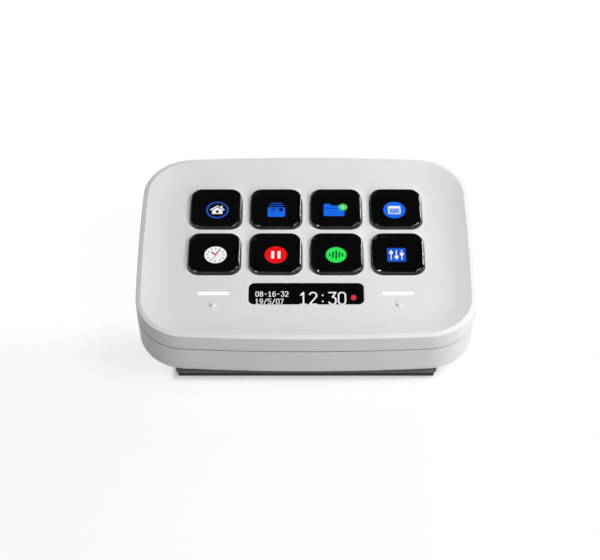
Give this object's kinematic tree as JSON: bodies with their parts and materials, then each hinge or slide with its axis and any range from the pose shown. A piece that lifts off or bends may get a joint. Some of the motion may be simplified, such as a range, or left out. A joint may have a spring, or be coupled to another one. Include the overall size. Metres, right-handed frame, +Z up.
{
  "type": "macro keypad",
  "caption": "Tilted desk controller slab with a grid of clear display keys, a display strip between touch points, and a weighted wedge plinth with a rubber foot.",
  "frame": {"origin": "on the desk under the middle of the case", "axes": "+Z up from the desk, +Y to the rear where the cable socket is, +X to the right along the key rows"},
  "size_m": [0.1068, 0.0785, 0.0259],
  "materials": {
    "white_plastic": "satin moulded white",
    "grey_plastic": "fine matt dark grey",
    "foot_rubber": "matt black",
    "weight_steel": "plain plated sheet",
    "key_clear": "clear polished acrylic",
    "key_black": "glossy black",
    "silicone": "translucent matt",
    "circuit_board": "solder resist",
    "foam": "fine foam",
    "display_glass": "dark polished glass",
    "diffuser_plastic": "white diffuser",
    "tray_steel": "bare sheet steel",
    "cable_film": "amber film",
    "connector_plastic": "matt black",
    "window_clear": "clear polished acrylic",
    "light_guide": "milky white, lit from below",
    "lamp": "clear resin",
    "pin_gold": "gold plated",
    "chip_resin": "matt black",
    "socket_steel": "polished steel",
    "screw_steel": "plated steel"
  },
  "bodies": {
    "case": {"top_shell": "white_plastic", "bottom_shell": "white_plastic", "stand_base": "grey_plastic", "foot_pad": "foot_rubber", "ballast_plate": "weight_steel", "keypad_membrane": "silicone", "key_board": "circuit_board", "display_gasket": "foam", "lcd_glass": "display_glass", "lcd_backlight": "diffuser_plastic", "lcd_frame": "tray_steel", "lcd_flex": "cable_film", "lcd_connector": "connector_plastic", "info_window": "window_clear", "light_bar_left": "light_guide", "light_bar_right": "light_guide", "touch_board_left": "circuit_board", "touch_board_right": "circuit_board", "light_bar_leds": "lamp", "touch_pads": "foam", "touch_contact_pins": "pin_gold", "main_board": "circuit_board", "microcontroller": "chip_resin", "memory_chip": "chip_resin", "link_plug": "connector_plastic", "link_socket": "connector_plastic", "usb_c_shell": "socket_steel", "usb_c_tongue": "connector_plastic", "case_screws": "screw_steel", "keypad_screws": "screw_steel", "main_board_screws": "screw_steel", "stand_screws": "screw_steel"},
    "key_1": {"key_1_lens": "key_clear", "key_1_skirt": "key_black"},
    "key_2": {"key_2_lens": "key_clear", "key_2_skirt": "key_black"},
    "key_3": {"key_3_lens": "key_clear", "key_3_skirt": "key_black"},
    "key_4": {"key_4_lens": "key_clear", "key_4_skirt": "key_black"},
    "key_5": {"key_5_lens": "key_clear", "key_5_skirt": "key_black"},
    "key_6": {"key_6_lens": "key_clear", "key_6_skirt": "key_black"},
    "key_7": {"key_7_lens": "key_clear", "key_7_skirt": "key_black"},
    "key_8": {"key_8_lens": "key_clear", "key_8_skirt": "key_black"}
  },
  "joints": [
    {"name": "key_1_press", "type": "slide", "parent": "case", "child": "key_1", "axis": [0, 0.0785, -0.9969], "range_m": [0, 0.0012], "stiffness_N_per_m": 330, "springref_m": -0.0006, "deforming": ["keypad_membrane"]},
    {"name": "key_2_press", "type": "slide", "parent": "case", "child": "key_2", "axis": [0, 0.0785, -0.9969], "range_m": [0, 0.0012], "stiffness_N_per_m": 330, "springref_m": -0.0006, "deforming": ["keypad_membrane"]},
    {"name": "key_3_press", "type": "slide", "parent": "case", "child": "key_3", "axis": [0, 0.0785, -0.9969], "range_m": [0, 0.0012], "stiffness_N_per_m": 330, "springref_m": -0.0006, "deforming": ["keypad_membrane"]},
    {"name": "key_4_press", "type": "slide", "parent": "case", "child": "key_4", "axis": [0, 0.0785, -0.9969], "range_m": [0, 0.0012], "stiffness_N_per_m": 330, "springref_m": -0.0006, "deforming": ["keypad_membrane"]},
    {"name": "key_5_press", "type": "slide", "parent": "case", "child": "key_5", "axis": [0, 0.0785, -0.9969], "range_m": [0, 0.0012], "stiffness_N_per_m": 330, "springref_m": -0.0006, "deforming": ["keypad_membrane"]},
    {"name": "key_6_press", "type": "slide", "parent": "case", "child": "key_6", "axis": [0, 0.0785, -0.9969], "range_m": [0, 0.0012], "stiffness_N_per_m": 330, "springref_m": -0.0006, "deforming": ["keypad_membrane"]},
    {"name": "key_7_press", "type": "slide", "parent": "case", "child": "key_7", "axis": [0, 0.0785, -0.9969], "range_m": [0, 0.0012], "stiffness_N_per_m": 330, "springref_m": -0.0006, "deforming": ["keypad_membrane"]},
    {"name": "key_8_press", "type": "slide", "parent": "case", "child": "key_8", "axis": [0, 0.0785, -0.9969], "range_m": [0, 0.0012], "stiffness_N_per_m": 330, "springref_m": -0.0006, "deforming": ["keypad_membrane"]}
  ]
}
